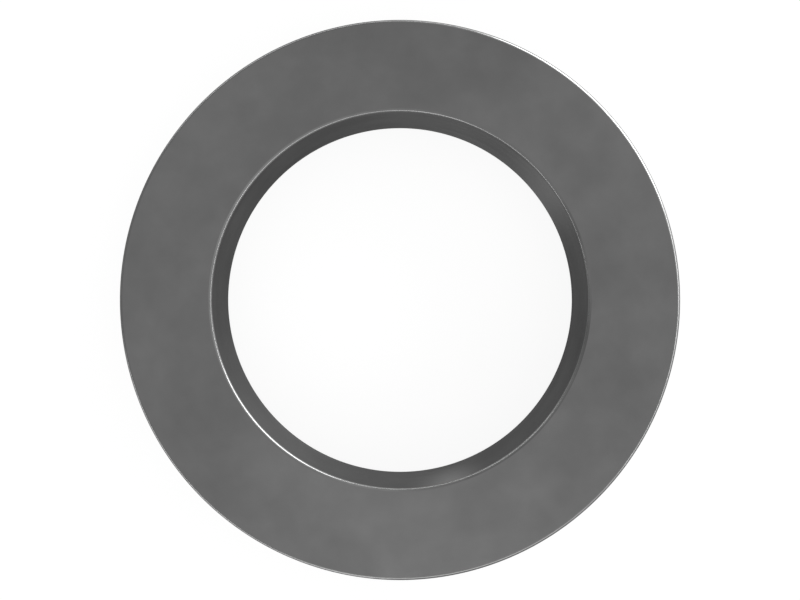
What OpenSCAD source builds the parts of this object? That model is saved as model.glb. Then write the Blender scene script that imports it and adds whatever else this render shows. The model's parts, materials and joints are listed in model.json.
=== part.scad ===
// Closed conical spring washer, turned from spring steel in one piece.
// The bore edge stands above the outer edge, so the ring springs flat under a bolt head.

/* [Ring] */
// Outside diameter
outer_d = 32; // [28:0.5:45]
// Bore diameter, with room for the bolt
bore_d = 21; // [14:0.5:24]
// Thickness of the steel, square to its faces
thickness = 3.5; // [1.5:0.1:5]

/* [Cone] */
// Height of the bore edge above the outer edge, with no load
cone_rise = 0.8; // [0.1:0.05:2]

/* [Edges] */
// Rounding of the two outer edges
outer_round = 0.25; // [0.05:0.025:0.4]
// Rounding of the two bore edges
bore_round = 0.125; // [0.05:0.025:0.4]

/* [Hidden] */
$fn = 240;

// Straight steps in each rounded edge of the section
round_steps = 12;

outer_r = outer_d / 2;
bore_r = bore_d / 2;
slope = atan(cone_rise / (outer_r - bore_r));
// The turned walls are upright, so they are a little longer than the steel is thick
wall_h = thickness / cos(slope);

// Sharp corners of the section, anticlockwise from the outer foot
corners = [
    [outer_r, 0],
    [outer_r, wall_h],
    [bore_r, wall_h + cone_rise],
    [bore_r, cone_rise]
];
rounds = [outer_round, outer_round, bore_round, bore_round];
sides = len(corners);

function unit(v) = v / norm(v);

// Direction from one corner of the section towards another
function towards(from, to) = unit(corners[to % sides] - corners[from % sides]);
function next_way(i) = towards(i, i + 1);
function last_way(i) = towards(i, i + sides - 1);

// Angle that the steel fills at a corner
function steel_angle(i) = acos(next_way(i) * last_way(i));
function round_centre(i) =
    corners[i] + unit(next_way(i) + last_way(i)) * rounds[i] / sin(steel_angle(i) / 2);

// Angle that the rounding starts at: the way the side before the corner faces
function first_angle(i) = atan2(last_way(i).x, -last_way(i).y);
function swept_angle(i) = 180 - steel_angle(i);

function rounded_corner(i) = [
    for (step = [0 : round_steps])
        let (angle = first_angle(i) + swept_angle(i) * step / round_steps)
            round_centre(i) + rounds[i] * [cos(angle), sin(angle)]
];

// Lowest point of the rounded foot, which stands on the ground
foot_z = min([for (point = rounded_corner(0)) point.y]);

module section() {
    polygon([for (i = [0 : sides - 1]) each rounded_corner(i)]);
}

module spring_washer() {
    color("dimgray")
        translate([0, 0, -foot_z])
            rotate_extrude() section();
}

spring_washer();
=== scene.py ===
"""Looks of a closed conical spring washer of tumbled grey steel, in metres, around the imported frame."""

import json
import math
from collections import namedtuple
import bpy
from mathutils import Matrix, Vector

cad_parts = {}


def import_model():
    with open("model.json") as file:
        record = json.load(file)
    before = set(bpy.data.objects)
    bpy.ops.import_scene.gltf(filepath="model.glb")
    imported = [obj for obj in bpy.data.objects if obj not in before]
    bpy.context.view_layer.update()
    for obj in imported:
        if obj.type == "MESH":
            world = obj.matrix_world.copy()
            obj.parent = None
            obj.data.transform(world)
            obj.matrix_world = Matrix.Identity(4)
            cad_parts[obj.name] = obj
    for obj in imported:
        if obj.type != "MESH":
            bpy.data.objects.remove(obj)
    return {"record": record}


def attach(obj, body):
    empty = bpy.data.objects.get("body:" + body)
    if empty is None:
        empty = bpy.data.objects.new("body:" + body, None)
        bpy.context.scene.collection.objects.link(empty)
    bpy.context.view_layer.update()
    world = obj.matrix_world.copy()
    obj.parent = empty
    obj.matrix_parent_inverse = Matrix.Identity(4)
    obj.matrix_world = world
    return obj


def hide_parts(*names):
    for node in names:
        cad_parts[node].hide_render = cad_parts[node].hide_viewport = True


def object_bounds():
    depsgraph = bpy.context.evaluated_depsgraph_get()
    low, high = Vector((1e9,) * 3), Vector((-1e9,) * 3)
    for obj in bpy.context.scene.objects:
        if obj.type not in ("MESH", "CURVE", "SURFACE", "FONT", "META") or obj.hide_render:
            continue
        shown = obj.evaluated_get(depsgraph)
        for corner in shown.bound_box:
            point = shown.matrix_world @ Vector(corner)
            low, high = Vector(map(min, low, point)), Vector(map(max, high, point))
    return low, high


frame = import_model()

CAD_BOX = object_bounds()
NODE = "spring_washer"
MM = 0.001

# Sizes of the section, from the frame where it states them
OUTER_R = CAD_BOX[1].x
BORE_R = frame["record"]["mounts"][0]["dims"]["r_mm"] * MM
THICKNESS = 3.5 * MM
CONE_RISE = 0.8 * MM
OUTER_ROUND = 0.25 * MM
BORE_ROUND = 0.125 * MM

# Fineness of the turned mesh
TURN_STEPS = 480
ROUND_STEPS = 12
FACE_ROWS = 22
WALL_ROWS = 14

# Distance from a rounded edge at which the rubbed steel has faded to about a third
WEAR_REACH = 0.02 * MM

# Patches of painted light: painted highlights and reflections where the strength is above 0, and painted
# shade where it is below 0. Their middle and spread are in degrees round the axis, from the photo's right
# towards its top. Their strength is the one at the near side, and far_share says how much of it the far side
# has: none at 0, and the opposite below 0. The bore wall's near side is its rim and its far side the foot. A
# rounded edge's near side is the upright wall and its far side the coned face.
Patch = namedtuple("Patch", "middle spread strength far_share")
# Painted reflections on the bore wall, with a painted glint at its rim at 286 degrees
BORE_WALL_PAINTED_REFLECTIONS = [
    Patch(36, 9, 1.3, 1.0),
    Patch(72, 21, 0.6, 1.0),
    Patch(155, 18, 0.1, 1.0),
    Patch(226, 24, 1.2, 1.0),
    Patch(275, 22, 0.4, 1.0),
    Patch(286, 5.5, 2.1, 0.0),
    Patch(318, 16, 0.2, 1.0),
]
# Painted highlights on the outer edge
OUTER_EDGE_PAINTED_HIGHLIGHTS = [
    Patch(30, 25, 1.1, 3.4),
    Patch(54, 19, 0.6, 3.4),
]
# Painted highlights on the bore's edge, and painted shade where the strength is below 0
BORE_EDGE_PAINTED_LIGHT_AND_SHADE = [
    Patch(22, 6, -0.5, 1.0),
    Patch(153, 34, 1.1, 0.9),
    Patch(223, 20, 7.5, -0.1),
    Patch(261, 11, 0.5, 1.3),
    Patch(309, 26, 1.6, -0.5),
    Patch(347, 8, -0.6, 1.0),
]

# The part of a noise's 0 to 1 that is stretched to a range, for most noises and for the clouds, and how
# finely clouds, blots and grain break up
NOISE_RANGE = (0.3, 0.7)
CLOUD_RANGE = (0.36, 0.64)
CLOUD_DETAIL = 4.0
BLOT_DETAIL = 3.0
GRAIN_DETAIL = 2.0

# Tumbled steel: how wide the blots of each noise are, and how deep the relief is
CLOUD_SIZE = 4.2 * MM
SMUDGE_SIZE = 1.2 * MM
RUB_SIZE = 0.8 * MM
SHEEN_SIZE = 2.5 * MM
SWELL_SIZE = 1.5 * MM
SWELL_DEPTH = 0.002 * MM
GRAIN_SIZE = 0.12 * MM
GRAIN_DEPTH = 0.0003 * MM

# Place in their noise, counted in blots, that the clouds have at the origin. It sets where they lie.
CLOUD_START = (33.8, 105.4, 6.7)

# Turned steel: how wide its blots and marks are, how their noise is scaled along each axis, where 0.02 makes
# the marks 50 times as long, and how deep they are
WALL_BLOT_SIZE = 3 * MM
MARK_SIZE = 0.12 * MM
MARK_STRETCH = (0.02, 0.02, 1)
MARK_DEPTH = 0.001 * MM

# Greys of the steel from darkest to lightest, and what smudges and marks multiply them by
FACE_GREYS = (0.133, 0.151)
EDGE_GREYS = (0.132, 0.148)
WALL_GREYS = (0.132, 0.148)
RUBBED_WALL_GREY = 0.14
SMUDGE_GAINS = (0.965, 1.035)
MARK_GAINS = (0.95, 1.05)

# What a painted light of 0 and of 1 multiply the grey by, which brightens it for painted highlights and
# darkens it for painted shade
EDGE_PAINTED_LIGHT_GAINS = (1.0, 1.5)
WALL_PAINTED_LIGHT_GAINS = (1.0, 1.1)

# Tint of light that grazes the steel, on the walls at a painted light of 0 and of 1, so that the bore wall's
# painted reflections raise it
FACE_TINT = 0.4
WALL_TINTS = (0.287, 0.43)

# Roughness, from the shiniest spots to the dullest where it varies
FACE_ROUGHNESS = (0.16, 0.22)
EDGE_ROUGHNESS = 0.2
WALL_ROUGHNESS = (0.32, 0.4)

# Camera straight above, at the height that gives the photo's band of bore wall
CAMERA_HEIGHT = 38.57 * MM
CAMERA_LENS = 27.76
CAMERA_NEAR = 1 * MM

# The floor's radius, the sweep up into the backdrop round it and the backdrop's height
STUDIO_R = 1.0
STUDIO_SWEEP = 0.15
BACKDROP_HEIGHT = 0.45
SWEEP_STEPS = 8
STUDIO_TURN_STEPS = 96

# Share of the floor's white that is its own, which leaves the rest to the light and its shadow
FLOOR_OWN_WHITE = 0.9

# Strength of the white world, with 1 as the level at which colours render as written
WORLD_LEVEL = 0.68

# Softboxes, all facing the washer: azimuth from the photo's right towards its top, angle from overhead, and
# how wide and how tall they look from the washer, in degrees, then their brightness beside a white of 1
LAMP_DISTANCE = 0.3
Softbox = namedtuple("Softbox", "azimuth from_top wide tall brightness")
SOFTBOXES = {
    "overhead": Softbox(265, 8.5, 94, 102, 0.285),
    "front": Softbox(266, 38, 46, 34, 0.13),
    "key": Softbox(45, 75, 50, 24, 6),
    "fill": Softbox(288, 60, 70, 20, 2.5),
    "right": Softbox(350, 67, 50, 10, 5),
    "rear": Softbox(109, 80, 74, 10, 4.3),
    "left": Softbox(229, 80, 74, 11, 5),
}

# Index of each finish in the mesh's materials
TUMBLED, TURNED = 0, 1

# A side of the section: the corner that it starts at with its rounding and the patches of painted light
# there, then the side's finish, rows and patches of painted light
Side = namedtuple("Side", "corner rounding edge_patches finish rows side_patches")

# A row of the section: how rubbed it is, the finish of the band up to the next row, the patches of painted
# light on it, and where it lies between their far side, at 0, and their near side, at 1
Row = namedtuple("Row", "radius height wear finish patches nearness")


def unit(v):
    """The vector's direction, at a length of 1."""
    return v / v.length


def section_sides():
    """Sides of the section anticlockwise from the outer foot, with corners as (radius, height)."""
    wall_h = THICKNESS / math.cos(math.atan2(CONE_RISE, OUTER_R - BORE_R))
    outer_foot, outer_top = Vector((OUTER_R, 0)), Vector((OUTER_R, wall_h))
    bore_top, bore_foot = Vector((BORE_R, wall_h + CONE_RISE)), Vector((BORE_R, CONE_RISE))
    return [
        Side(outer_foot, OUTER_ROUND, (), TURNED, WALL_ROWS, ()),
        Side(outer_top, OUTER_ROUND, OUTER_EDGE_PAINTED_HIGHLIGHTS, TUMBLED, FACE_ROWS, ()),
        Side(bore_top, BORE_ROUND, BORE_EDGE_PAINTED_LIGHT_AND_SHADE, TURNED, WALL_ROWS, BORE_WALL_PAINTED_REFLECTIONS),
        Side(bore_foot, BORE_ROUND, (), TUMBLED, FACE_ROWS, ()),
    ]


def corner_arc(before, corner, after, radius):
    """Points of the rounding at a corner, from one side's tangent point to the other's."""
    back, on = unit(before - corner), unit(after - corner)
    steel_angle = back.angle(on)
    centre = corner + unit(back + on) * radius / math.sin(steel_angle / 2)
    first = math.atan2(back.x, -back.y)
    swept = math.pi - steel_angle
    angles = [first + swept * i / ROUND_STEPS for i in range(ROUND_STEPS + 1)]
    return [centre + radius * Vector((math.cos(a), math.sin(a))) for a in angles]


def edge_rows(side, arc, foot):
    """Rows of the rounded edge that a side starts with, which is all rubbed."""
    rows = []
    for step, point in enumerate(arc):
        share = step / ROUND_STEPS
        finish = side.finish if step == ROUND_STEPS else TUMBLED
        nearness = 1 - share if side.finish == TUMBLED else share
        rows.append(Row(point.x, point.y - foot, 1.0, finish, side.edge_patches, nearness))
    return rows


def side_rows(side, start, end, foot):
    """Rows between two roundings, closer together at the ends, where the wear fades."""
    rows = []
    for i in range(1, side.rows):
        point = start.lerp(end, (1 - math.cos(math.pi * i / side.rows)) / 2)
        to_start, to_end = (point - start).length, (point - end).length
        wear = math.exp(-min(to_start, to_end) / WEAR_REACH)
        nearness = to_end / (to_start + to_end)
        rows.append(Row(point.x, point.y - foot, wear, side.finish, side.side_patches, nearness))
    return rows


def section():
    """Rows round the section, anticlockwise from the outer foot, which stands on the ground."""
    sides = section_sides()
    arcs = []
    for i, side in enumerate(sides):
        before, after = sides[i - 1].corner, sides[(i + 1) % len(sides)].corner
        arcs.append(corner_arc(before, side.corner, after, side.rounding))
    foot = min(point.y for point in arcs[0])
    rows = []
    for i, (side, arc) in enumerate(zip(sides, arcs)):
        rows += edge_rows(side, arc, foot)
        rows += side_rows(side, arc[-1], arcs[(i + 1) % len(arcs)][0], foot)
    return rows


def painted_light(row, angle):
    """How much painted light a row has at an angle round the axis: painted highlight above 0, painted shade
    below 0.
    """
    total = 0.0
    for patch in row.patches:
        off = (angle - math.radians(patch.middle) + math.pi) % math.tau - math.pi
        bell = math.exp(-((off / math.radians(patch.spread)) ** 2) / 2)
        total += patch.strength * bell * (patch.far_share + (1 - patch.far_share) * row.nearness)
    return total


def turn_angles(steps):
    """Even steps round the axis."""
    return [math.tau * turn / steps for turn in range(steps)]


def turned_points(profile, steps):
    """A profile of (radius, height) turned about Z."""
    points = []
    for angle in turn_angles(steps):
        x, y = math.cos(angle), math.sin(angle)
        points += [(radius * x, radius * y, height) for radius, height in profile]
    return points


def turned_faces(count, steps, closed):
    """Faces between the turned copies of a profile of count points, which is closed or open."""
    bands = count if closed else count - 1
    faces = []
    for turn in range(steps):
        here, there = turn * count, (turn + 1) % steps * count
        for row in range(bands):
            after = (row + 1) % count
            faces.append((here + row, there + row, there + after, here + after))
    return faces


def washer_mesh(rows):
    """The section turned about Z, with wear and its painted light, highlights above 0 and shade below, as
    attributes of its points.
    """
    points = turned_points([(row.radius, row.height) for row in rows], TURN_STEPS)
    faces = turned_faces(len(rows), TURN_STEPS, closed=True)
    mesh = bpy.data.meshes.new("washer")
    mesh.from_pydata(points, [], faces)
    mesh.polygons.foreach_set("material_index", [row.finish for row in rows] * TURN_STEPS)
    mesh.polygons.foreach_set("use_smooth", [True] * len(faces))
    wears = [row.wear for row in rows] * TURN_STEPS
    painted_light_values = [painted_light(row, angle) for angle in turn_angles(TURN_STEPS) for row in rows]
    for name, values in {"wear": wears, "painted_light": painted_light_values}.items():
        mesh.attributes.new(name, "FLOAT", "POINT").data.foreach_set("value", values)
    mesh.update()
    return mesh


class Steel:
    """Node helpers for one steel finish, all on the object's own coordinates."""

    def __init__(self, name):
        self.material = bpy.data.materials.new(name)
        self.material.use_nodes = True
        self.nodes = self.material.node_tree.nodes
        self.links = self.material.node_tree.links
        self.shader = self.nodes["Principled BSDF"]
        self.shader.inputs["Metallic"].default_value = 1.0
        self.place = self.nodes.new("ShaderNodeTexCoord").outputs["Object"]

    def noise(self, size, detail=BLOT_DETAIL, stretch=(1, 1, 1), start=(0, 0, 0)):
        """Noise from 0 to 1 with blots about size across and the origin at start, counted in blots."""
        mapping = self.nodes.new("ShaderNodeMapping")
        mapping.inputs["Scale"].default_value = [s / size for s in stretch]
        mapping.inputs["Location"].default_value = start
        self.links.new(self.place, mapping.inputs["Vector"])
        texture = self.nodes.new("ShaderNodeTexNoise")
        texture.inputs["Scale"].default_value = 1.0
        texture.inputs["Detail"].default_value = detail
        self.links.new(mapping.outputs["Vector"], texture.inputs["Vector"])
        return texture.outputs["Fac"]

    def remap(self, value, to_range, from_range=NOISE_RANGE, clamp=True):
        """The value, stretched from one range to another."""
        node = self.nodes.new("ShaderNodeMapRange")
        node.inputs["From Min"].default_value, node.inputs["From Max"].default_value = from_range
        node.inputs["To Min"].default_value, node.inputs["To Max"].default_value = to_range
        node.clamp = clamp
        self.links.new(value, node.inputs["Value"])
        return node.outputs["Result"]

    def multiply(self, a, b):
        """The product of two values."""
        node = self.nodes.new("ShaderNodeMath")
        node.operation = "MULTIPLY"
        for socket, value in zip(node.inputs, (a, b)):
            self.links.new(value, socket)
        return node.outputs["Value"]

    def attribute(self, name):
        """A value that the mesh's points carry."""
        node = self.nodes.new("ShaderNodeAttribute")
        node.attribute_name = name
        return node.outputs["Fac"]

    def by_painted_light(self, levels):
        """The first level where the painted light is 0 and the second where it is 1, and so on beyond them.
        """
        return self.remap(self.attribute("painted_light"), levels, from_range=(0, 1), clamp=False)

    def rubbed(self, plain, worn):
        """The plain value, and the worn one, a value or a number, where the steel is rubbed."""
        node = self.nodes.new("ShaderNodeMix")
        self.links.new(self.attribute("wear"), node.inputs["Factor"])
        self.links.new(plain, node.inputs["A"])
        if isinstance(worn, float):
            node.inputs["B"].default_value = worn
        else:
            self.links.new(worn, node.inputs["B"])
        return node.outputs["Result"]

    def grey(self, value, shader_input):
        """Set a colour of the shader to a grey."""
        node = self.nodes.new("ShaderNodeCombineColor")
        for socket in node.inputs:
            self.links.new(value, socket)
        self.links.new(node.outputs["Color"], self.shader.inputs[shader_input])

    def rough(self, value):
        """Set the shader's roughness."""
        self.links.new(value, self.shader.inputs["Roughness"])

    def bump(self, height, depth, under=None):
        """Set the shader's relief, on top of another one if there is one under it."""
        node = self.nodes.new("ShaderNodeBump")
        node.inputs["Distance"].default_value = depth
        self.links.new(height, node.inputs["Height"])
        if under is not None:
            self.links.new(under, node.inputs["Normal"])
        self.links.new(node.outputs["Normal"], self.shader.inputs["Normal"])
        return node.outputs["Normal"]


def tumbled_steel():
    """The coned faces and rounded edges: softly clouded, with painted highlights and painted shade on the
    edges in patches.
    """
    steel = Steel("tumbled_steel")
    steel.shader.inputs["Specular Tint"].default_value = (FACE_TINT, FACE_TINT, FACE_TINT, 1)
    billows = steel.noise(CLOUD_SIZE, CLOUD_DETAIL, start=CLOUD_START)
    clouds = steel.remap(billows, FACE_GREYS, CLOUD_RANGE)
    face = steel.multiply(clouds, steel.remap(steel.noise(SMUDGE_SIZE), SMUDGE_GAINS))
    spots = steel.remap(steel.noise(RUB_SIZE), EDGE_GREYS)
    # Painted highlights on the rounded edges, and painted shade where the painted light is below 0
    edge = steel.multiply(spots, steel.by_painted_light(EDGE_PAINTED_LIGHT_GAINS))
    steel.grey(steel.rubbed(face, edge), "Base Color")
    sheen = steel.remap(steel.noise(SHEEN_SIZE), FACE_ROUGHNESS)
    steel.rough(steel.rubbed(sheen, EDGE_ROUGHNESS))
    swell = steel.bump(steel.noise(SWELL_SIZE), SWELL_DEPTH)
    steel.bump(steel.noise(GRAIN_SIZE, GRAIN_DETAIL), GRAIN_DEPTH, under=swell)
    return steel.material


def turned_steel():
    """The upright walls: fine turning marks around the axis, and painted reflections in the bore, in its
    grey and its grazing tint.
    """
    steel = Steel("turned_steel")
    marks = steel.noise(MARK_SIZE, GRAIN_DETAIL, MARK_STRETCH)
    blots = steel.remap(steel.noise(WALL_BLOT_SIZE), WALL_GREYS)
    marked = steel.multiply(blots, steel.remap(marks, MARK_GAINS))
    # Painted reflections on the bore wall, in its grey
    wall = steel.multiply(marked, steel.by_painted_light(WALL_PAINTED_LIGHT_GAINS))
    steel.grey(steel.rubbed(wall, RUBBED_WALL_GREY), "Base Color")
    # Painted reflections on the bore wall, in its grazing tint
    steel.grey(steel.by_painted_light(WALL_TINTS), "Specular Tint")
    steel.rough(steel.remap(marks, WALL_ROUGHNESS))
    steel.bump(marks, MARK_DEPTH)
    return steel.material


def add(name, data):
    """A new object of the scene that shows a mesh, lamp or camera."""
    made = bpy.data.objects.new(name, data)
    bpy.context.scene.collection.objects.link(made)
    return made


def washer():
    """The washer, in place of the plain solid."""
    mesh = washer_mesh(section())
    mesh.materials.append(tumbled_steel())
    mesh.materials.append(turned_steel())
    piece = add("washer", mesh)
    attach(piece, "root")
    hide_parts(NODE)


def seen_rays(nodes, links):
    """1 for rays that see the background: the camera's, and those mirrored or let through by the object."""
    path = nodes.new("ShaderNodeLightPath")
    total = path.outputs["Is Camera Ray"]
    for name in ("Is Glossy Ray", "Is Transmission Ray"):
        node = nodes.new("ShaderNodeMath")
        node.operation = "MAXIMUM"
        links.new(total, node.inputs[0])
        links.new(path.outputs[name], node.inputs[1])
        total = node.outputs["Value"]
    return total


def pale_floor():
    """A matt material that looks white and keeps a light shadow."""
    material = bpy.data.materials.new("pale_floor")
    material.use_nodes = True
    nodes, links = material.node_tree.nodes, material.node_tree.links
    shader = nodes["Principled BSDF"]
    lit_white = 1 - FLOOR_OWN_WHITE
    shader.inputs["Base Color"].default_value = (lit_white, lit_white, lit_white, 1)
    shader.inputs["Roughness"].default_value = 1.0
    shader.inputs["Specular IOR Level"].default_value = 0.0
    shader.inputs["Emission Color"].default_value = (1, 1, 1, 1)
    scale = nodes.new("ShaderNodeMath")
    scale.operation = "MULTIPLY"
    scale.inputs[1].default_value = FLOOR_OWN_WHITE
    links.new(seen_rays(nodes, links), scale.inputs[0])
    links.new(scale.outputs["Value"], shader.inputs["Emission Strength"])
    return material


def studio_profile():
    """Radii and heights from the rim of the flat floor up the sweep to the backdrop's top."""
    profile = [(STUDIO_R - STUDIO_SWEEP, 0.0)]
    for i in range(1, SWEEP_STEPS + 1):
        a = math.pi / 2 * i / SWEEP_STEPS
        profile.append((STUDIO_R - STUDIO_SWEEP * (1 - math.sin(a)), STUDIO_SWEEP * (1 - math.cos(a))))
    return profile + [(STUDIO_R, BACKDROP_HEIGHT)]


def studio():
    """A round pale floor that sweeps up into a low backdrop."""
    profile = studio_profile()
    count = len(profile)
    faces = turned_faces(count, STUDIO_TURN_STEPS, closed=False)
    faces.append([turn * count for turn in range(STUDIO_TURN_STEPS)])
    mesh = bpy.data.meshes.new("studio")
    mesh.from_pydata(turned_points(profile, STUDIO_TURN_STEPS), [], faces)
    mesh.materials.append(pale_floor())
    add("studio", mesh)


def world():
    """Even white surroundings, dimmed by what the lamps add."""
    made = bpy.data.worlds.new("studio")
    made.use_nodes = True
    background = made.node_tree.nodes["Background"]
    background.inputs["Color"].default_value = (1, 1, 1, 1)
    background.inputs["Strength"].default_value = WORLD_LEVEL
    bpy.context.scene.world = made


def lamp_width(degrees):
    """Width that looks this many degrees wide from the washer."""
    return 2 * LAMP_DISTANCE * math.tan(math.radians(degrees / 2))


def softbox(name, box):
    """An oblong lamp that faces the washer and lights it without being seen itself."""
    data = bpy.data.lights.new(name, "AREA")
    data.shape = "RECTANGLE"
    data.size = lamp_width(box.wide)
    data.size_y = lamp_width(box.tall)
    data.energy = box.brightness * math.pi * data.size * data.size_y
    a, t = math.radians(box.azimuth), math.radians(box.from_top)
    away = Vector((math.cos(a) * math.sin(t), math.sin(a) * math.sin(t), math.cos(t)))
    lamp = add(name, data)
    lamp.location = away * LAMP_DISTANCE
    lamp.rotation_mode = "QUATERNION"
    lamp.rotation_quaternion = away.to_track_quat("Z", "Y")
    lamp.visible_camera = False


def lights():
    """All softboxes."""
    for name, box in SOFTBOXES.items():
        softbox(name, box)


def camera():
    """The scene's camera, which looks straight down."""
    data = bpy.data.cameras.new("camera")
    data.lens = CAMERA_LENS
    data.clip_start = CAMERA_NEAR
    made = add("camera", data)
    made.location = (0, 0, CAMERA_HEIGHT)
    bpy.context.scene.camera = made


camera()
washer()
studio()
world()
lights()
bpy.context.scene.view_settings.view_transform = "Standard"
